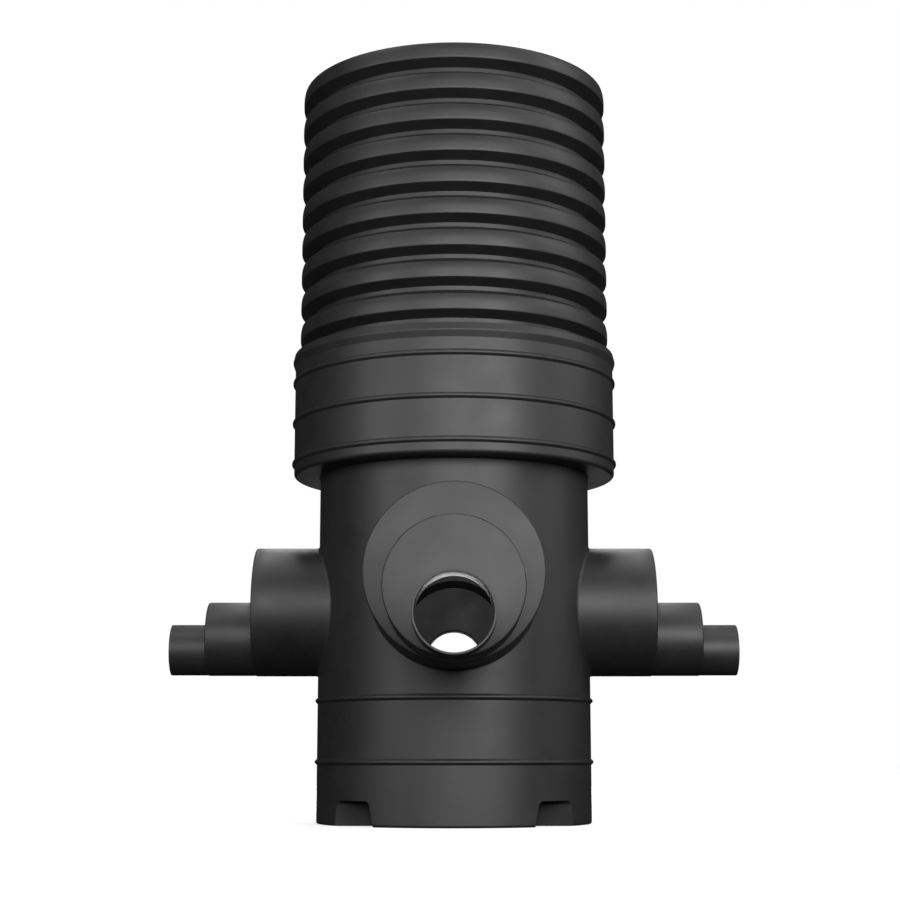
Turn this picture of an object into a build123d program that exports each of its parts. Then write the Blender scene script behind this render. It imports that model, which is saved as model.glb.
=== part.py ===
from build123d import *
import math
import os

# Catchpit chamber for surface water drainage, moulded in black polyethylene.
# A sump body stands on a cross-shaped foot and has four stepped branches whose
# inverts lie in line, so that a pipe of any of three sizes can be joined to each.
# A ribbed riser pipe stands in the socket on top, with a rubber ring round it.
# Millimetres, +Z up. The origin is at the middle of the foot, at ground level.

# Riser pipe
riser_outer_diameter = 690.0
rib_count = 13
rib_crest_width = 34.0
rib_flank_height = 12.9
rib_depth = 27.2
valley_floor_width = 8.85
liner_thickness = 8.8

# Socket that holds the riser pipe
socket_clearance = 2.5
socket_wall = 7.6
socket_depth = 261.0
shelf_thickness = 11.3
socket_edge_bevel = 6.0
mouth_chamfer = 3.0
lip_height = 31.0
lip_flare_height = 15.0
lip_projection = 5.5
lip_draw_in = 3.8

# Rubber ring between the riser pipe and the socket
ring_valley = 1
ring_fit_gap = 0.2
ring_lip_height = 6.0
ring_lip_reach = 9.0

# Sump body
body_outer_diameter = 593.0
body_wall = 8.5
body_height = 749.5
floor_thickness = 10.0
foot_edge_bevel = 4.0

# Raised beads round the body and the socket
bead_width = 13.0
bead_crown_width = 5.0
bead_projection = 4.9
body_bead_count = 2
body_bead_spacing = 130.0
socket_bead_count = 3
socket_bead_start = 28.5
socket_bead_spacing = 90.6

# Corner recesses that leave a cross-shaped foot
foot_cross_width = 326.0
recess_height = 52.0
recess_draft = 10.0
recess_fillet = 6.0

# Branches: outside diameter and exposed length of each stage, from the body outwards
invert_height = 314.0
invert_step = 1.0
branch_wall = 4.5
root_flare = 1.2
root_clearance = 1.0
main_stages = [(352.0, 223.5), (264.0, 170.0), (152.0, 80.0)]
side_stages = [(280.0, 136.5), (160.0, 104.0), (110.0, 80.0)]

# Sizes that follow from the ones above
crest_radius = riser_outer_diameter / 2
valley_radius = crest_radius - rib_depth
liner_radius = valley_radius - liner_thickness
rib_pitch = rib_crest_width + 2 * rib_flank_height + valley_floor_width
bore_radius = crest_radius + socket_clearance
socket_radius = bore_radius + socket_wall
body_radius = body_outer_diameter / 2
sump_radius = body_radius - body_wall
shelf_level = body_height + shelf_thickness
socket_top = shelf_level + socket_depth
foot_arm = foot_cross_width / 2
branch_overlap = branch_wall / 2
root_end = body_radius + bead_projection + root_clearance


def turned(points):
    """A solid of revolution about Z from its half section, given as (radius, height) points."""
    section = make_face(Plane.XZ * Polyline(*points, close=True))
    return revolve(section, Axis.Z)


def bead_points(radius, level):
    """One raised bead on a wall of this radius, from below to above."""
    half = bead_width / 2
    crown = bead_crown_width / 2
    return [
        (radius, level - half),
        (radius + bead_projection, level - crown),
        (radius + bead_projection, level + crown),
        (radius, level + half),
    ]


def outer_envelope():
    """The body and socket as one solid, before they are hollowed."""
    points = [(0, 0), (body_radius - foot_edge_bevel, 0), (body_radius, foot_edge_bevel)]
    for n in range(body_bead_count):
        points += bead_points(body_radius, (n + 1) * body_bead_spacing)
    points += [
        (body_radius, body_height),
        (socket_radius - socket_edge_bevel, body_height),
        (socket_radius, body_height + socket_edge_bevel),
    ]
    for n in range(socket_bead_count):
        level = body_height + socket_bead_start + n * socket_bead_spacing
        points += bead_points(socket_radius, level)
    points += [
        (socket_radius, socket_top - lip_height),
        (socket_radius + lip_projection, socket_top - lip_height + lip_flare_height),
        (socket_radius + lip_projection - lip_draw_in, socket_top),
        (0, socket_top),
    ]
    return turned(points)


def sump_space():
    """The hollow of the sump, the shelf for the riser pipe and the socket's bore."""
    return turned([
        (0, floor_thickness),
        (sump_radius, floor_thickness),
        (sump_radius, shelf_level),
        (bore_radius, shelf_level),
        (bore_radius, socket_top - mouth_chamfer),
        (bore_radius + mouth_chamfer, socket_top),
        (0, socket_top),
    ])


def corner_blocks(growth):
    """Four drafted blocks at the foot's corners. Growth is the wall left round each recess."""
    near = foot_arm - growth
    far = body_radius + socket_wall
    width = far - near
    block = extrude(Rectangle(width, width), recess_height + growth, taper=recess_draft)
    top_edges = block.faces().sort_by(Axis.Z)[-1].edges()
    block = fillet(top_edges, recess_fillet + growth)
    block = Pos(near + width / 2, near + width / 2) * block
    return [Rot(0, 0, 90 * n) * block for n in range(4)]


def branch_root(diameter):
    """The flared root of a branch, from inside the body's wall to where the straight stage begins."""
    side_contact = math.sqrt(body_radius ** 2 - (diameter / 2) ** 2)
    begin = side_contact - body_wall
    root = Cone(
        diameter / 2 + root_flare,
        diameter / 2,
        root_end - begin,
        align=(Align.CENTER, Align.CENTER, Align.MIN),
    )
    return Pos(begin, 0, invert_height + diameter / 2) * Rot(0, 90, 0) * root


def branch(stages, shrink, start):
    """Stepped pipes along +X with their lowest lines nearly level. Shrink is taken off all round."""
    solids = []
    reach = body_radius
    begin = start
    for step, (diameter, length) in enumerate(stages):
        reach += length
        radius = diameter / 2 - shrink
        # A bore stops one wall short of the step, and the last one runs out of the end.
        last = step == len(stages) - 1
        end = reach if last else reach - shrink
        axis_height = invert_height + step * invert_step + diameter / 2
        pipe = Cylinder(radius, end - begin, align=(Align.CENTER, Align.CENTER, Align.MIN))
        solids.append(Pos(begin, 0, axis_height) * Rot(0, 90, 0) * pipe)
        begin = end - branch_overlap
    return solids


def all_branches(shrink, start):
    """Both side branches, along X, and both main branches, along Y."""
    solids = []
    for turn, stages in ((0, side_stages), (90, main_stages), (180, side_stages), (270, main_stages)):
        for pipe in branch(stages, shrink, start):
            solids.append(Rot(0, 0, turn) * pipe)
    return solids


def all_roots():
    """The flared roots of the four branches."""
    turns = ((0, side_stages), (90, main_stages), (180, side_stages), (270, main_stages))
    return [Rot(0, 0, turn) * branch_root(stages[0][0]) for turn, stages in turns]


def chamber_base():
    """Foot, sump, branches and socket, one hollow moulding of even wall."""
    base = outer_envelope()
    for pipe in all_roots() + all_branches(0, root_end):
        base += pipe
    hollow = sump_space()
    for block in corner_blocks(body_wall):
        hollow -= block
    base -= hollow
    for bore in all_branches(branch_wall, 0):
        base -= bore
    for block in corner_blocks(0):
        base -= block
    return base


def riser_pipe():
    """Ribbed pipe with a smooth bore. It is cut in a valley at the foot and on a crest at the top."""
    points = [(liner_radius, shelf_level), (valley_radius, shelf_level)]
    level = shelf_level + valley_floor_width / 2
    for n in range(rib_count):
        if n > 0:
            points.append((valley_radius, level - valley_floor_width))
        points += [
            (valley_radius, level),
            (crest_radius, level + rib_flank_height),
            (crest_radius, level + rib_flank_height + rib_crest_width),
        ]
        level += rib_pitch
    points.append((liner_radius, points[-1][1]))
    return turned(points)


def riser_seal():
    """Rubber ring seated in one valley of the riser pipe, with a lip that meets the socket's bore."""
    level = shelf_level + ring_valley * rib_pitch
    root = valley_radius + ring_fit_gap
    shoulder = bore_radius - ring_lip_reach
    tip = bore_radius - ring_fit_gap
    flank_slope = rib_flank_height / rib_depth
    root_half = valley_floor_width / 2 - ring_fit_gap
    shoulder_half = root_half + (shoulder - root) * flank_slope
    lip_half = ring_lip_height / 2
    return turned([
        (root, level - root_half),
        (shoulder, level - shoulder_half),
        (tip, level - lip_half),
        (tip, level + lip_half),
        (shoulder, level + shoulder_half),
        (root, level + root_half),
    ])


def main():
    os.makedirs("parts", exist_ok=True)
    export_step(chamber_base(), "parts/chamber_base.step")
    export_step(riser_pipe(), "parts/riser_pipe.step")
    export_step(riser_seal(), "parts/riser_seal.step")


main()
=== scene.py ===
# %% [markdown]
# # Catchpit chamber
# A catchpit is a round drainage chamber that lets silt settle out of surface water.
# This one is moulded in black polyethylene: a sump on a cross-shaped foot, four branches
# that step down in size, a beaded socket, and a ribbed riser pipe that stands in it.
# The sizes here are those of the CAD model, repeated as values. Each of its solids gets a
# finer skin with rounded edges and a finish, and then come a floor, lights and a camera.

# %% Load the frame
import math

import bmesh
import bpy
from mathutils import Matrix, Vector


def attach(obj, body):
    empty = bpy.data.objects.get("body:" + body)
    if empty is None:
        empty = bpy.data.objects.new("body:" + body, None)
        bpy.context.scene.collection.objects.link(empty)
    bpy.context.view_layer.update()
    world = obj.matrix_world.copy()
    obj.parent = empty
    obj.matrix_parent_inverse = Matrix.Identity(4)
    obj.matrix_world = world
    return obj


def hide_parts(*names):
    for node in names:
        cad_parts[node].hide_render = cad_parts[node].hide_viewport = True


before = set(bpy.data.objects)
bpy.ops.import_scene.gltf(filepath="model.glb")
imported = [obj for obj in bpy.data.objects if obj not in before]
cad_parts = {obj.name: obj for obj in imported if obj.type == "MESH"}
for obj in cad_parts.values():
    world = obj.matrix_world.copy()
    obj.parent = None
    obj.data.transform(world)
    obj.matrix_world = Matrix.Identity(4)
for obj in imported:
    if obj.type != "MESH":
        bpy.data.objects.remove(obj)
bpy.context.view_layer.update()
MM = 0.001
print("CAD nodes:", sorted(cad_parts))

# %% [markdown]
# ## Helpers for round shapes
# Most of the pieces are turned: a half section is drawn once and spun about the upright
# axis. Rounding the corners of the section before the spin gives a true rounded edge all
# the way round, and costs far less than bevelling the finished ring.

# %% Helpers for round shapes
SPIN_STEPS = 224
# Lengths in mm that are small enough to count as none
SAME_CORNER, SAME_POINT, NO_LENGTH = 0.01, 0.001, 0.0001


def flat_section(points):
    """A bmesh that holds one closed half section, from (radius, height) points in mm."""
    bm = bmesh.new()
    ring = [bm.verts.new((r * MM, 0, z * MM)) for r, z in points]
    for a, b in zip(ring, ring[1:] + ring[:1]):
        bm.edges.new((a, b))
    return bm


def round_corners(bm, corners, radius, segments=4):
    """Rounds these (radius, height) corners of a section by about this radius in mm."""
    places = [Vector((r * MM, 0, z * MM)) for r, z in corners]
    near = SAME_CORNER * MM
    wanted = [v for v in bm.verts if any((v.co - place).length < near for place in places)]
    bmesh.ops.bevel(bm, geom=wanted, offset=radius * MM, offset_type="OFFSET", segments=segments,
                    profile=0.5, affect="VERTICES", material=-1)


def hold_flat(bm, margin=1.0, min_length=5.0, min_bend=2):
    """Adds a point beside each corner of a section, so that smooth shading stays on the corners.

    The margin and the shortest edge that gets a point are in mm, and the least bend in degrees.
    """
    for vert in bm.verts[:]:
        if len(vert.link_edges) != 2 or vert.calc_edge_angle(0) < math.radians(min_bend):
            continue
        for edge in vert.link_edges[:]:
            if edge.calc_length() > min_length * MM:
                bmesh.utils.edge_split(edge, vert, margin * MM / edge.calc_length())


def spin_section(bm, steps=SPIN_STEPS):
    """Turns a section into a closed skin about the upright axis."""
    hold_flat(bm)
    bmesh.ops.spin(bm, geom=bm.verts[:] + bm.edges[:], cent=(0, 0, 0), axis=(0, 0, 1),
                   dvec=(0, 0, 0), angle=2 * math.pi, steps=steps, use_merge=True)
    bmesh.ops.remove_doubles(bm, verts=bm.verts[:], dist=SAME_POINT * MM)
    bmesh.ops.dissolve_degenerate(bm, edges=bm.edges[:], dist=NO_LENGTH * MM)
    bmesh.ops.recalc_face_normals(bm, faces=bm.faces[:])


def finish_piece(bm, name, sharp_angle=32):
    """Makes the object, smooth except across edges sharper than this many degrees."""
    for face in bm.faces:
        face.smooth = True
    for edge in bm.edges:
        if len(edge.link_faces) == 2:
            edge.smooth = edge.calc_face_angle(0) < math.radians(sharp_angle)
    mesh = bpy.data.meshes.new(name)
    bm.to_mesh(mesh)
    bm.free()
    piece = bpy.data.objects.new(name, mesh)
    bpy.context.scene.collection.objects.link(piece)
    print(name, "has", len(mesh.polygons), "faces")
    return piece

# %% [markdown]
# ## The sump body and its socket
# The body, shelf and socket are taken to be one moulding, because no joint shows between
# them. Low beads run round it, and the foot is a cross because its four corners are set
# back. Two solids are spun, one for the outside and one for the hollow, and the Boolean
# modifier takes the second off the first. The wall is what is left between them, so it
# gets its thickness from two radii and isn't modelled on its own.

# %% Sizes of the body, in mm
BODY_R, BODY_WALL, SUMP_FLOOR = 296.5, 8.5, 10.0
SUMP_R = BODY_R - BODY_WALL
RISER_R, SOCKET_GAP, SOCKET_WALL = 345.0, 2.5, 7.6
BORE_R = RISER_R + SOCKET_GAP
SOCKET_R = BORE_R + SOCKET_WALL
SHELF_UNDER, SHELF_THICKNESS, SOCKET_DEPTH = 749.5, 11.3, 261.0
SHELF_TOP = SHELF_UNDER + SHELF_THICKNESS
SOCKET_TOP = SHELF_TOP + SOCKET_DEPTH
MOUTH_CHAMFER = 3.0
LIP_HEIGHT, LIP_FLARE_HEIGHT, LIP_OUT, LIP_DRAW_IN = 31.0, 15.0, 5.5, 3.8
BEAD_HALF, BEAD_CROWN, BEAD_OUT = 6.5, 2.0, 4.9
BODY_BEAD_SPACING, SOCKET_BEAD_START, SOCKET_BEAD_SPACING = 130.0, 28.5, 90.6
BODY_BEADS = [BODY_BEAD_SPACING * n for n in (1, 2)]
SOCKET_BEADS = [SHELF_UNDER + SOCKET_BEAD_START + SOCKET_BEAD_SPACING * n for n in range(3)]
# Roundings of the edges
BEAD_ROUND, FOOT_ROUND, SHOULDER_ROUND, NECK_ROUND = 1.2, 5, 7, 3
LIP_ROUND, LIP_TOP_ROUND, SUMP_FLOOR_ROUND, SHELF_ROUND = 1.4, 1.5, 10, 2
# Radii of an extra ring in the underside and in the sump's floor, for shorter faces
UNDERSIDE_RING, FLOOR_RING = 150, 120
print("shelf at", round(SHELF_TOP, 1), "mm and socket up to", round(SOCKET_TOP, 1), "mm")


def bead(radius, level):
    """One raised bead on a wall of this radius."""
    return [(radius, level - BEAD_HALF), (radius + BEAD_OUT, level - BEAD_CROWN),
            (radius + BEAD_OUT, level + BEAD_CROWN), (radius, level + BEAD_HALF)]


def wall(radius, start, end, pitch=18.0):
    """Points up a plain wall, close enough that no face of the skin is long and thin."""
    count = max(1, round((end - start) / pitch))
    return [(radius, start + (end - start) * n / count) for n in range(1, count)]

# %% The outside of the body
section = [(0, 0), (UNDERSIDE_RING, 0), (BODY_R, 0)]
level = 0.0
for centre in BODY_BEADS:
    section += wall(BODY_R, level, centre - BEAD_HALF) + bead(BODY_R, centre)
    level = centre + BEAD_HALF
section += wall(BODY_R, level, SHELF_UNDER) + [(BODY_R, SHELF_UNDER), (SOCKET_R, SHELF_UNDER)]
level = SHELF_UNDER
for centre in SOCKET_BEADS:
    section += wall(SOCKET_R, level, centre - BEAD_HALF) + bead(SOCKET_R, centre)
    level = centre + BEAD_HALF
lip_foot = (SOCKET_R, SOCKET_TOP - LIP_HEIGHT)
lip_widest = (SOCKET_R + LIP_OUT, SOCKET_TOP - LIP_HEIGHT + LIP_FLARE_HEIGHT)
lip_top = (SOCKET_R + LIP_OUT - LIP_DRAW_IN, SOCKET_TOP)
section += [lip_foot, lip_widest, lip_top, (0, SOCKET_TOP)]
bead_corners = []
for radius, centres in ((BODY_R, BODY_BEADS), (SOCKET_R, SOCKET_BEADS)):
    for centre in centres:
        bead_corners += bead(radius, centre)[1:3]
bm = flat_section(section)
round_corners(bm, bead_corners, BEAD_ROUND, segments=3)
round_corners(bm, [(BODY_R, 0)], FOOT_ROUND)
round_corners(bm, [(SOCKET_R, SHELF_UNDER)], SHOULDER_ROUND)
round_corners(bm, [(BODY_R, SHELF_UNDER)], NECK_ROUND)
round_corners(bm, [lip_widest], LIP_ROUND)
round_corners(bm, [lip_top], LIP_TOP_ROUND)
spin_section(bm)
base = finish_piece(bm, "sump_and_socket")

# %% The hollow inside
# The hollow runs past the socket's top, so that the cut goes right through.
OVERSHOOT = 20
section = [(0, SUMP_FLOOR), (FLOOR_RING, SUMP_FLOOR), (SUMP_R, SUMP_FLOOR)]
section += wall(SUMP_R, SUMP_FLOOR, SHELF_TOP, pitch=24.0)
section += [(SUMP_R, SHELF_TOP), (BORE_R, SHELF_TOP)]
section += [(BORE_R, SOCKET_TOP - MOUTH_CHAMFER), (BORE_R + MOUTH_CHAMFER, SOCKET_TOP)]
section += [(BORE_R + MOUTH_CHAMFER, SOCKET_TOP + OVERSHOOT), (0, SOCKET_TOP + OVERSHOOT)]
bm = flat_section(section)
round_corners(bm, [(SUMP_R, SUMP_FLOOR)], SUMP_FLOOR_ROUND)
round_corners(bm, [(SUMP_R, SHELF_TOP)], SHELF_ROUND)
spin_section(bm)
hollow = finish_piece(bm, "hollow_core")

# %% [markdown]
# ## The foot
# Each corner recess is cut by a drafted block with rounded edges. A larger block is taken
# off the hollow first, so that a wall as thick as the body's is left round the recess.

# %% Corner recesses of the foot
FOOT_ARM, RECESS_HEIGHT, DRAFT, RECESS_ROUND = 163.0, 52.0, 10.0, 9
# How far a block reaches past the foot's underside and past the body's radius
BELOW_FOOT, BEYOND_BODY = 6, 40.0


def corner_block(growth, name):
    """Four drafted corner blocks in one mesh. Growth is the wall left round each, in mm."""
    near, far = FOOT_ARM - growth, BODY_R + BEYOND_BODY
    width, height = far - near, RECESS_HEIGHT + growth
    near_top, middle = height * MM * 0.9, (near + width / 2) * MM
    bm = bmesh.new()
    bmesh.ops.create_cube(bm, size=1.0)
    bmesh.ops.scale(bm, vec=(width * MM, width * MM, (height + BELOW_FOOT) * MM), verts=bm.verts)
    bmesh.ops.translate(bm, vec=(0, 0, (height - BELOW_FOOT) / 2 * MM), verts=bm.verts)
    top = [v for v in bm.verts if v.co.z > near_top]
    pull = 1 - 2 * (height + BELOW_FOOT) * math.tan(math.radians(DRAFT)) / width
    bmesh.ops.scale(bm, vec=(pull, pull, 1), verts=top)
    bmesh.ops.translate(bm, vec=(middle, middle, 0), verts=bm.verts)
    edges = [e for e in bm.edges if all(v.co.z > near_top for v in e.verts)]
    uprights = [e for e in bm.edges if abs(e.verts[0].co.z - e.verts[1].co.z) > height * MM * 0.5]
    bmesh.ops.bevel(bm, geom=edges + uprights, offset=(RECESS_ROUND + growth) * MM,
                    offset_type="OFFSET", segments=5, profile=0.5, affect="EDGES", material=-1)
    quarter = bm.verts[:] + bm.edges[:] + bm.faces[:]
    for turn in (1, 2, 3):
        copy = bmesh.ops.duplicate(bm, geom=quarter)
        verts = [v for v in copy["geom"] if isinstance(v, bmesh.types.BMVert)]
        turned = Matrix.Rotation(turn * math.pi / 2, 3, "Z")
        bmesh.ops.rotate(bm, cent=(0, 0, 0), matrix=turned, verts=verts)
    bmesh.ops.recalc_face_normals(bm, faces=bm.faces[:])
    return finish_piece(bm, name)


recess = corner_block(0, "recess_cutter")
recess_wall = corner_block(BODY_WALL, "recess_wall_cutter")

# %% [markdown]
# ## Holes for the branches
# Each branch will be a skin of its own, with an outer and an inner wall. The body only
# needs a round hole, a little larger than the branch's bore, that the skin covers.

# %% Holes for the branches
INVERT, INVERT_STEP, BRANCH_WALL = 314.0, 1.0, 4.5
# (outside diameter, exposed length) of each stage, from the body outwards
MAIN_STAGES = ((352.0, 223.5), (264.0, 170.0), (152.0, 80.0))
SIDE_STAGES = ((280.0, 136.5), (160.0, 104.0), (110.0, 80.0))
RING_SEGMENTS, HOLE_LENGTH = 128, 800.0


def hole_cutter(name, stages, turn):
    """A plain cylinder right through the body, for the two branches of one size."""
    radius = stages[0][0] / 2
    hole = (radius - BRANCH_WALL / 2) * MM
    bm = bmesh.new()
    bmesh.ops.create_cone(bm, cap_ends=True, cap_tris=False, segments=RING_SEGMENTS,
                          depth=HOLE_LENGTH * MM, radius1=hole, radius2=hole)
    lift = Matrix.Translation((0, 0, (INVERT + radius) * MM))
    lie_down = Matrix.Rotation(math.pi / 2, 4, "Y")
    place = Matrix.Rotation(math.radians(turn), 4, "Z") @ lift @ lie_down
    bmesh.ops.transform(bm, matrix=place, verts=bm.verts[:])
    return finish_piece(bm, name)


def cut(piece, cutter):
    """Takes the cutter's shape off the piece, for good."""
    step = piece.modifiers.new("cut", "BOOLEAN")
    step.operation, step.solver, step.object = "DIFFERENCE", "EXACT", cutter
    shaped = bpy.data.meshes.new_from_object(piece.evaluated_get(bpy.context.evaluated_depsgraph_get()))
    piece.modifiers.remove(step)
    piece.data = shaped
    print(piece.name, "after", cutter.name, "has", len(shaped.polygons), "faces")


main_hole = hole_cutter("main_hole_cutter", MAIN_STAGES, 90)
side_hole = hole_cutter("side_hole_cutter", SIDE_STAGES, 0)
cut(hollow, recess_wall)
for cutter in (hollow, recess, main_hole, side_hole):
    cut(base, cutter)
for cutter in (hollow, recess, recess_wall, main_hole, side_hole):
    bpy.data.objects.remove(cutter, do_unlink=True)

# %% Smooth the body again
# The cuts leave points that nearly meet and edges with nearly no length. Points closer than
# WELD mm are merged, and edges shorter than SLIVER mm are taken out.
WELD, SLIVER = 0.02, 0.01
bm = bmesh.new()
bm.from_mesh(base.data)
bmesh.ops.remove_doubles(bm, verts=bm.verts[:], dist=WELD * MM)
bmesh.ops.dissolve_degenerate(bm, edges=bm.edges[:], dist=SLIVER * MM)
print("edges left open:", sum(1 for e in bm.edges if not e.is_manifold))
bpy.data.objects.remove(base, do_unlink=True)
base = finish_piece(bm, "sump_and_socket", sharp_angle=24)

# %% [markdown]
# ## The stepped branches
# A branch is sawn off at the stage whose size fits the pipe. Each stage has its own axis,
# because their lowest lines are nearly level. A circle is extruded edge by edge through
# the stations of the branch: a rounded root on the body, down two steps to the smallest
# stage, round the cut end, and back up inside to the sump. The last ring is bridged to the
# first one through the body's wall, so that each branch is a closed skin with both faces
# of its wall.

# %% Stations of a branch
ROOT_BEAD = 4.0
# (distance from the round wall, share of the root's bead) on the body and in the sump
BODY_ROOT = ((0, 1), (1.0, 0.45), (2.4, 0.12), (5.0, 0))
SUMP_ROOT = ((4.0, 0), (1.2, 0.15), (0.1, 1))
# How far two plain rings stand before and after the first step
BEFORE_STEP, AFTER_STEP = 30, 20


def stations(stages):
    """(place along the branch, radius, height of the axis, kind of ring) of each ring, in mm."""
    first, second, third = [d / 2 for d, _ in stages]
    ends = []
    reach = BODY_R
    for _, length in stages:
        reach += length
        ends.append(reach)
    axes = [INVERT + n * INVERT_STEP + r for n, r in enumerate((first, second, third))]
    w = BRANCH_WALL
    outside = [(along, first + ROOT_BEAD * share, axes[0], "body") for along, share in BODY_ROOT]
    inside = [(along, first - w + ROOT_BEAD * share, axes[0], "sump") for along, share in SUMP_ROOT]
    steps = [
        (ends[0] - BEFORE_STEP, first, axes[0], ""),
        (ends[0], first, axes[0], "edge"),
        (ends[0], second, axes[1], "root"),
        (ends[0] + AFTER_STEP, second, axes[1], ""),
        (ends[1], second, axes[1], "edge"),
        (ends[1], third, axes[2], "root"),
        (ends[2], third, axes[2], "rim"),
        (ends[2], third - w, axes[2], "rim"),
        (ends[1] - w, third - w, axes[2], "root"),
        (ends[1] - w, second - w, axes[1], "root"),
        (ends[0] - w, second - w, axes[1], "root"),
        (ends[0] - w, first - w, axes[0], "root"),
    ]
    return outside + steps + inside


print("each branch has", len(stations(MAIN_STAGES)), "rings")

# %% Build the branches
EDGE_ROUND = {"edge": 3.2, "root": 2.0, "rim": 0.9}
# How far the rings at the body's and the sump's round wall are moved towards the middle of
# the chamber, so that the branch overlaps the body there and no gap shows
BODY_OVERLAP, SUMP_OVERLAP = 0.2, 0.4


def lay(ring, along, surface):
    """Sets how far out a ring lies: at a flat station, or at that distance from a round wall."""
    for v in ring:
        if surface == "body":
            v.co.x = math.sqrt((BODY_R * MM) ** 2 - v.co.y ** 2) + (along - BODY_OVERLAP) * MM
        elif surface == "sump":
            v.co.x = math.sqrt((SUMP_R * MM) ** 2 - v.co.y ** 2) + (along - SUMP_OVERLAP) * MM
        else:
            v.co.x = along * MM


def branch(name, stages, turns):
    """The branches of one size, at these turns about the upright axis."""
    bm = bmesh.new()
    ring = bmesh.ops.create_circle(bm, cap_ends=False, segments=RING_SEGMENTS, radius=1.0)["verts"]
    bmesh.ops.rotate(bm, cent=(0, 0, 0), matrix=Matrix.Rotation(math.pi / 2, 3, "Y"), verts=ring)
    edges = bm.edges[:]
    root_edges = edges
    # The circle starts with a radius of one metre, which is 1 / MM in millimetres.
    centre, last_radius = Vector((0, 0, 0)), 1 / MM
    first, rounded = True, {}
    for along, radius, axis, kind in stations(stages):
        if not first:
            grown = bmesh.ops.extrude_edge_only(bm, edges=edges)["geom"]
            ring = [v for v in grown if isinstance(v, bmesh.types.BMVert)]
            edges = [e for e in grown if isinstance(e, bmesh.types.BMEdge) and e.is_boundary]
        ratio = radius / last_radius
        bmesh.ops.scale(bm, vec=(1, ratio, ratio), space=Matrix.Translation(-centre), verts=ring)
        bmesh.ops.translate(bm, vec=Vector((0, 0, axis * MM)) - centre, verts=ring)
        lay(ring, along, kind)
        if kind in EDGE_ROUND:
            rounded.setdefault(kind, []).extend(edges)
        centre, last_radius, first = Vector((0, 0, axis * MM)), radius, False
    bmesh.ops.bridge_loops(bm, edges=root_edges + edges)
    for kind, found in rounded.items():
        bmesh.ops.bevel(bm, geom=[e for e in found if e.is_valid], offset=EDGE_ROUND[kind] * MM,
                        offset_type="OFFSET", segments=3, profile=0.5, affect="EDGES", material=-1)
    single = bm.verts[:] + bm.edges[:] + bm.faces[:]
    copy = bmesh.ops.duplicate(bm, geom=single)["geom"]
    copied = [v for v in copy if isinstance(v, bmesh.types.BMVert)]
    apart = Matrix.Rotation(math.radians(turns[1] - turns[0]), 3, "Z")
    both = Matrix.Rotation(math.radians(turns[0]), 3, "Z")
    bmesh.ops.rotate(bm, cent=(0, 0, 0), matrix=apart, verts=copied)
    bmesh.ops.rotate(bm, cent=(0, 0, 0), matrix=both, verts=bm.verts[:])
    bmesh.ops.recalc_face_normals(bm, faces=bm.faces[:])
    return finish_piece(bm, name, sharp_angle=40)


main_branches = branch("main_branches", MAIN_STAGES, (90, 270))
side_branches = branch("side_branches", SIDE_STAGES, (0, 180))

# %% [markdown]
# ## The riser pipe
# Corrugated pipe is extruded as two walls: a smooth liner, and ribs that are blown into
# moulds as the pipe runs on. A real rib is hollow. Here it is solid, because nothing shows
# the inside of it. A crest comes out slightly domed and falls back towards its top. The
# pipe is cut to length in a valley below and on a crest above. One section with all its
# ribs is spun once.

# %% Sizes of the riser, in mm
RIB_DEPTH, LINER_WALL = 27.2, 8.8
VALLEY_R = RISER_R - RIB_DEPTH
LINER_R = VALLEY_R - LINER_WALL
RIB_COUNT, CREST, FLANK, VALLEY = 13, 34.0, 12.9, 8.85
PITCH = CREST + 2 * FLANK + VALLEY
# Where a crest bulges and from where it falls back, as shares of its height, and by how much
DOME, DOME_CENTRE = 2.8, 0.35
ROLL, ROLL_START = 1.6, 0.5
# The points of a crest stand closer together where it falls back.
CREST_SHARES = (0, 0.17, 0.34, 0.5, 0.6, 0.7, 0.8, 0.9, 1)
CREST_TOP_ROUND, CREST_FOOT_ROUND = 0.9, 1.6
print(RIB_COUNT, "ribs with a pitch of", round(PITCH, 2), "mm")


def crest_radius(share):
    """Radius at this share of the way up a crest: a low dome that rolls back near its top."""
    roll = max(0, (share - ROLL_START) / (1 - ROLL_START))
    return RISER_R - DOME * (share - DOME_CENTRE) ** 2 - ROLL * roll ** 2

# %% Spin the riser
section = [(LINER_R, SHELF_TOP), (VALLEY_R, SHELF_TOP)]
crest_tops, crest_feet = [], []
for n in range(RIB_COUNT):
    foot = SHELF_TOP + VALLEY / 2 + n * PITCH
    crest = [(crest_radius(share), foot + FLANK + CREST * share) for share in CREST_SHARES]
    section += [(VALLEY_R, foot)] + crest
    crest_tops.append(crest[-1])
    crest_feet.append(crest[0])
    if n < RIB_COUNT - 1:
        section.append((VALLEY_R, foot + 2 * FLANK + CREST))
section.append((LINER_R, section[-1][1]))
bm = flat_section(section)
round_corners(bm, crest_tops, CREST_TOP_ROUND, segments=2)
round_corners(bm, crest_feet, CREST_FOOT_ROUND, segments=3)
spin_section(bm)
riser = finish_piece(bm, "ribbed_riser", sharp_angle=30)

# %% [markdown]
# ## The rubber ring
# A ring seal sits in a valley of the riser and presses on the socket's bore. It is hidden
# once the pipe is in, but the part can be taken apart, so it is modelled as well. It is
# drawn in its fitted shape, with a little air in place of its squeeze.

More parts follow.
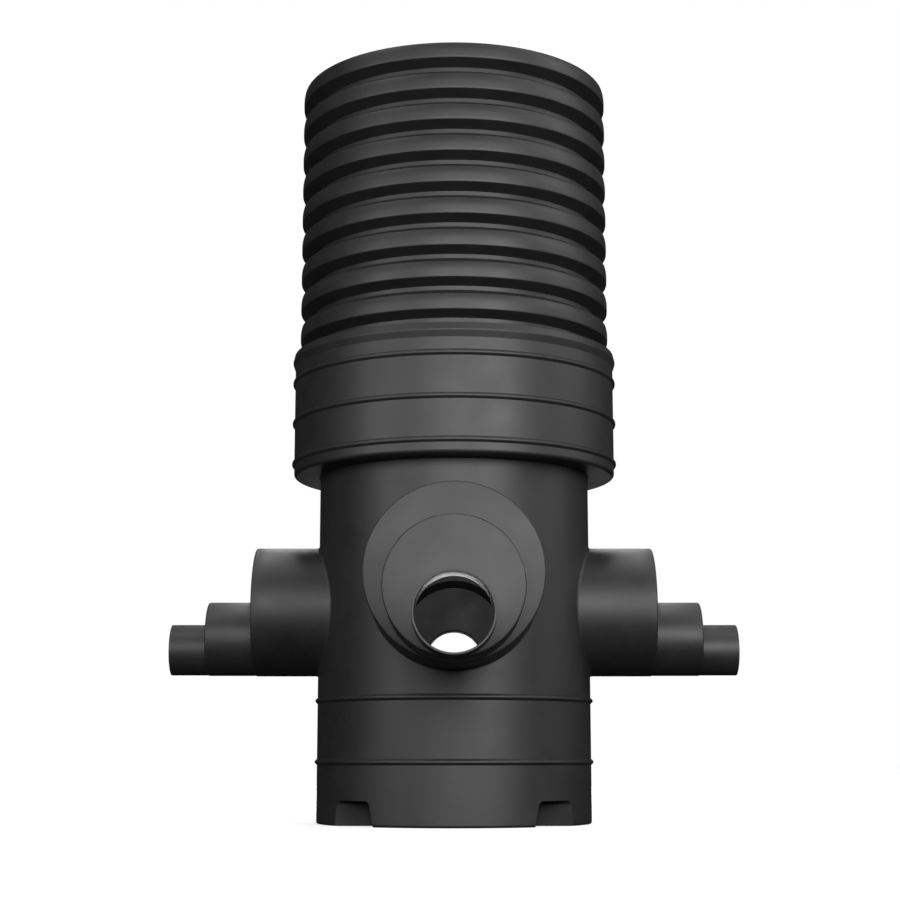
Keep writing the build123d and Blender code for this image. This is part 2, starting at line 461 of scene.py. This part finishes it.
# %% Spin the seal
RING_VALLEY, RING_AIR, RING_LIP_REACH, RING_LIP_HALF = 1, 0.2, 9.0, 3.0
SHOULDER_SOFT, LIP_SOFT, RING_STEPS = 2.5, 1.2, 160
valley = SHELF_TOP + RING_VALLEY * PITCH
slope = FLANK / RIB_DEPTH
root_r, shoulder_r, tip_r = VALLEY_R + RING_AIR, BORE_R - RING_LIP_REACH, BORE_R - RING_AIR
root_half = VALLEY / 2 - RING_AIR
shoulder_half = root_half + (shoulder_r - root_r) * slope
upper = [(root_r, valley + root_half), (shoulder_r, valley + shoulder_half),
         (tip_r, valley + RING_LIP_HALF)]
lower = [(r, 2 * valley - z) for r, z in upper]
bm = flat_section(lower + upper[::-1])
round_corners(bm, [lower[1], upper[1]], SHOULDER_SOFT, segments=3)
round_corners(bm, [lower[2], upper[2]], LIP_SOFT, segments=3)
spin_section(bm, steps=RING_STEPS)
seal = finish_piece(bm, "riser_ring")

# %% [markdown]
# ## Tie the pieces to the CAD model
# Each skin stands for a CAD solid, whose own mesh is hidden, and rides on the part's one
# body. The chamber base is one moulding with three skins: the sump with its socket, the
# main branches and the side branches.

# %% Tie the pieces to the CAD model
for piece, node, slot in ((base, "chamber_base", "base_polyethylene"),
                          (main_branches, "chamber_base", "base_polyethylene"),
                          (side_branches, "chamber_base", "base_polyethylene"),
                          (riser, "riser_pipe", "riser_polyethylene"),
                          (seal, "riser_seal", "seal_rubber")):
    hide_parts(node)
    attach(piece, "root")
    print(piece.name, "stands for", node)

# %% [markdown]
# ## Finishes
# Both plastics are taken to be polyethylene with carbon black, which stays dull and a
# little waxy. What tells them apart is how they were made: both have a faint mottle and a
# fine orange peel, and the extruded riser has draw rings round it as well. The ring is
# matt rubber. All patterns get their scale from a size in millimetres, on Object
# coordinates.

# %% Helpers for finishes
def hex_colour(code):
    """A hex sRGB colour as linear red, green, blue and alpha."""
    values = [int(code[i:i + 2], 16) / 255 for i in (1, 3, 5)]
    return tuple(v / 12.92 if v <= 0.04045 else ((v + 0.055) / 1.055) ** 2.4 for v in values) + (1.0,)


def add(tree, kind, links=(), **settings):
    """Adds a node, sets its properties or sockets, and links (socket, from_output) pairs to it."""
    node = tree.nodes.new(kind)
    for key, value in settings.items():
        if hasattr(node, key):
            setattr(node, key, value)
        else:
            node.inputs[key.replace("_", " ")].default_value = value
    for socket, source in links:
        tree.links.new(source, node.inputs[socket])
    return node


def per_mm(size):
    """The scale that makes one cycle of a pattern this many millimetres."""
    return 1.0 / (size * MM)

# %% The plastic and rubber finish
# Sizes of the mottle's clouds and specks in mm
MOTTLE, SPECK = 70, 6
# How far the roughness strays either way, from cloud to cloud
GLOSS_SPREAD = 0.04
PLASTIC_IOR = 1.51


def plastic(name, dark, light, roughness, grain, grain_depth, ring_gap=0, ring_depth=0):
    """Black plastic or rubber with a mottle, a grain and, if asked for, draw rings. Sizes are in mm."""
    material = bpy.data.materials.new(name)
    material.use_nodes = True
    tree = material.node_tree
    tree.nodes.clear()
    where = add(tree, "ShaderNodeTexCoord").outputs["Object"]
    cloud = add(tree, "ShaderNodeTexNoise", [("Vector", where)],
                Scale=per_mm(MOTTLE), Detail=4.0, Roughness=0.6)
    speck = add(tree, "ShaderNodeTexNoise", [("Vector", where)],
                Scale=per_mm(SPECK), Detail=3.0, Roughness=0.6)
    blend = add(tree, "ShaderNodeMath", [(0, cloud.outputs["Fac"]), (1, speck.outputs["Fac"])],
                operation="ADD")
    share = add(tree, "ShaderNodeMapRange", [("Value", blend.outputs[0])], From_Min=0.75, From_Max=1.25)
    colour = add(tree, "ShaderNodeMix", [("Factor", share.outputs["Result"])], data_type="RGBA")
    colour.inputs["A"].default_value = hex_colour(dark)
    colour.inputs["B"].default_value = hex_colour(light)
    gloss = add(tree, "ShaderNodeMapRange", [("Value", cloud.outputs["Fac"])],
                From_Min=0.3, From_Max=0.7,
                To_Min=roughness - GLOSS_SPREAD, To_Max=roughness + GLOSS_SPREAD)
    peel = add(tree, "ShaderNodeTexNoise", [("Vector", where)],
               Scale=per_mm(grain), Detail=2.0, Roughness=0.5)
    bump = add(tree, "ShaderNodeBump", [("Height", peel.outputs["Fac"])],
               Strength=1.0, Distance=grain_depth * MM)
    if ring_gap:
        height = add(tree, "ShaderNodeSeparateXYZ", [("Vector", where)])
        rings = add(tree, "ShaderNodeTexNoise", [("W", height.outputs["Z"])],
                    noise_dimensions="1D", Scale=per_mm(ring_gap), Detail=2.0)
        bump = add(tree, "ShaderNodeBump",
                   [("Height", rings.outputs["Fac"]), ("Normal", bump.outputs["Normal"])],
                   Strength=1.0, Distance=ring_depth * MM)
    shader = add(tree, "ShaderNodeBsdfPrincipled",
                 [("Base Color", colour.outputs["Result"]), ("Roughness", gloss.outputs["Result"]),
                  ("Normal", bump.outputs["Normal"])], IOR=PLASTIC_IOR)
    add(tree, "ShaderNodeOutputMaterial", [("Surface", shader.outputs["BSDF"])])
    return material

# %% Make the finishes
# Moulded polyethylene: dull satin, with a faint cloudy mottle and an orange peel of 2.6 mm.
moulded = plastic("moulded polyethylene", "#19191a", "#1f1f20", 0.50, 2.6, 0.05)
# Extruded polyethylene: a touch glossier, with draw rings about 2 mm apart. Finer ones
# wouldn't show in the render, so they are drawn as coarse as that.
extruded = plastic("extruded polyethylene", "#19191a", "#1f1f20", 0.49, 3.0, 0.03, 2.0, 0.02)
# Sealing rubber: darker and duller than the plastic, with a fine matt grain.
rubber = plastic("sealing rubber", "#151516", "#1a1a1b", 0.7, 1.2, 0.04)
for piece, material in ((base, moulded), (main_branches, moulded), (side_branches, moulded),
                        (riser, extruded), (seal, rubber)):
    piece.data.materials.clear()
    piece.data.materials.append(material)
    print(piece.name, "is", material.name)

# %% [markdown]
# ## Floor and background
# The part stands on a plain white floor. Its white is meant for the camera, because a
# white floor under a black part would light it from below and show in its sheen. So
# diffuse light gets next to none of the white, and reflections get a small share of it. A
# metal or glass piece would need that share to be 1, to reflect the white room. Towards the
# camera the floor keeps its own shading, so the part still throws its shadow.

# %% Floor
FLOOR_SIZE = 40.0
bm = bmesh.new()
bmesh.ops.create_grid(bm, x_segments=1, y_segments=1, size=FLOOR_SIZE / 2)
floor = finish_piece(bm, "floor")

# %% Who sees the white
GLOSSY_SHARE = 0.012


def seen(tree, glossy_share):
    """1 for rays from the camera or through glass, and a share of that for reflections."""
    path = add(tree, "ShaderNodeLightPath")
    shine = add(tree, "ShaderNodeMath", [(0, path.outputs["Is Glossy Ray"])], operation="MULTIPLY")
    shine.inputs[1].default_value = glossy_share
    direct = add(tree, "ShaderNodeMath",
                 [(0, path.outputs["Is Camera Ray"]), (1, path.outputs["Is Transmission Ray"])],
                 operation="MAXIMUM")
    either = add(tree, "ShaderNodeMath", [(0, direct.outputs[0]), (1, shine.outputs[0])],
                 operation="MAXIMUM")
    return either.outputs[0]

# %% Finish of the floor
# Up to GLOW_NEAR metres from the middle the floor glows at GLOW_AT_PART, where a shadow
# has to show. From there its glow rises, and from GLOW_FAR on it is 1.
GLOW_NEAR, GLOW_FAR, GLOW_AT_PART = 0.9, 3.5, 0.6
pale = bpy.data.materials.new("pale studio floor")
pale.use_nodes = True
tree = pale.node_tree
tree.nodes.clear()
sight = seen(tree, GLOSSY_SHARE)
grey = add(tree, "ShaderNodeBsdfDiffuse", Color=hex_colour("#c8c8c8"))
where = add(tree, "ShaderNodeTexCoord").outputs["Object"]
away = add(tree, "ShaderNodeVectorMath", [("Vector", where)], operation="LENGTH").outputs["Value"]
rise = add(tree, "ShaderNodeMapRange", [("Value", away)],
           From_Min=GLOW_NEAR, From_Max=GLOW_FAR, To_Min=GLOW_AT_PART, To_Max=1.0)
glow = add(tree, "ShaderNodeEmission", [("Strength", rise.outputs["Result"])], Color=(1, 1, 1, 1))
lit = add(tree, "ShaderNodeAddShader", [(0, grey.outputs[0]), (1, glow.outputs[0])])
dark = add(tree, "ShaderNodeBsdfDiffuse", Color=hex_colour("#101010"))
both = add(tree, "ShaderNodeMixShader", [("Fac", sight), (1, dark.outputs[0]), (2, lit.outputs[0])])
add(tree, "ShaderNodeOutputMaterial", [("Surface", both.outputs[0])])
floor.data.materials.append(pale)
print("floor is", pale.name)

# %% Background
# What diffuse light gets of the background
DIM = 0.01
world = bpy.data.worlds.new("white studio")
world.use_nodes = True
tree = world.node_tree
tree.nodes.clear()
sight = seen(tree, GLOSSY_SHARE)
white = add(tree, "ShaderNodeBackground", Color=(1, 1, 1, 1), Strength=1.0)
dim = add(tree, "ShaderNodeBackground", Color=(1, 1, 1, 1), Strength=DIM)
both = add(tree, "ShaderNodeMixShader", [("Fac", sight), (1, dim.outputs[0]), (2, white.outputs[0])])
add(tree, "ShaderNodeOutputWorld", [("Surface", both.outputs[0])])
bpy.context.scene.world = world
print("background is", world.name)

# %% [markdown]
# ## Lights
# Dull black plastic shows little of its own colour, so large soft boxes, seen in its
# sheen, draw the whole shape. The strongest stands in front, right of the camera. The
# others stand in front, at the sides, above and behind. Their directions and powers
# weren't set by hand: another script chose them with a least-squares fit of the render's
# greys to the photograph's. So they are one lighting that gives this picture, and it need
# not be the one that was used.

# %% Soft boxes
AIM = Vector((0, 0, 0.85))
BOX_SIZE, BOX_DISTANCE = 1.9, 5.0
# azimuth (0 in front, positive to the right), elevation and power of each box
SOFT_BOXES = {
    "far left box": (-50, 8, 79), "left box": (-15, 8, 42), "front box": (0, 8, 101),
    "main box": (30, 8, 147), "right box": (90, 8, 22), "high right box": (80, 30, 49),
    "upper left box": (-60, 55, 37), "upper right box": (60, 55, 30), "overhead box": (0, 88, 75),
    "high back box": (180, 70, 113), "back box": (180, 35, 81),
}


def hang_lamp(name, power, width, depth, place, turn):
    """An area lamp of this power in watts and size in metres."""
    lamp = bpy.data.lights.new(name, "AREA")
    lamp.shape, lamp.size, lamp.size_y, lamp.energy = "RECTANGLE", width, depth, power
    holder = bpy.data.objects.new(name, lamp)
    holder.location, holder.rotation_euler = place, turn
    bpy.context.scene.collection.objects.link(holder)
    return holder


for name, (azimuth, elevation, power) in SOFT_BOXES.items():
    a, e = math.radians(azimuth), math.radians(elevation)
    out = Vector((math.sin(a) * math.cos(e), -math.cos(a) * math.cos(e), math.sin(e)))
    turn = (-out).to_track_quat("-Z", "Y").to_euler()
    hang_lamp(name, power, BOX_SIZE, BOX_SIZE, AIM + out * BOX_DISTANCE, turn)
watts = sum(power for _, _, power in SOFT_BOXES.values())
print(len(SOFT_BOXES), "soft boxes of", watts, "watts in all")

# %% [markdown]
# ## Small lamps
# Two places stay too dark under the soft boxes. A low strip behind the part shows the
# underside of the socket. Two small lamps low in the sump light the branches from inside,
# for the bright ceiling of the front one's mouth. All three are hidden from the camera.
# They serve the picture alone: a real chamber has no lamp in it.

# %% Small lamps
STRIP_PLACE, STRIP_TILT, STRIP_POWER = (0.1, 5, 0.3), -90, 6
STRIP_LENGTH, STRIP_HEIGHT = 1.9, 0.5
INSIDE_LENGTH, INSIDE_HEIGHT, INSIDE_LEVEL = 0.32, 0.06, 0.28
# place along Y, tilt and power of each lamp in the sump
INSIDE_LAMPS = ((0.2, -98, 1.1), (-0.2, 98, 1.4))
turn = (math.radians(STRIP_TILT), 0, 0)
small = [hang_lamp("low back strip", STRIP_POWER, STRIP_LENGTH, STRIP_HEIGHT, STRIP_PLACE, turn)]
for y, tilt, power in INSIDE_LAMPS:
    turn, place = (math.radians(tilt), 0, 0), (0, y, INSIDE_LEVEL)
    small.append(hang_lamp("inside lamp", power, INSIDE_LENGTH, INSIDE_HEIGHT, place, turn))
for holder in small:
    holder.visible_camera = False
print(len(small), "small lamps")

# %% [markdown]
# ## Camera
# The picture was taken from just above the floor, looking up along the part with a
# fairly long lens. The place and tilt were worked out from the ellipses of the ribs.

# %% Camera
CAMERA_DISTANCE, CAMERA_HEIGHT, TILT = 3.874, 0.1357, 9.966
SENSOR_MM, LENS_MM, SHIFT_X = 36.0, 70.4, -0.0045
lens = bpy.data.cameras.new("camera")
lens.sensor_width, lens.lens, lens.shift_x = SENSOR_MM, LENS_MM, SHIFT_X
camera = bpy.data.objects.new("camera", lens)
camera.location = (0, -CAMERA_DISTANCE, CAMERA_HEIGHT)
camera.rotation_euler = (math.radians(90 + TILT), 0, 0)
bpy.context.scene.collection.objects.link(camera)
bpy.context.scene.camera = camera
bpy.context.scene.view_settings.view_transform = "Standard"
print("camera at", [round(v, 4) for v in camera.location])
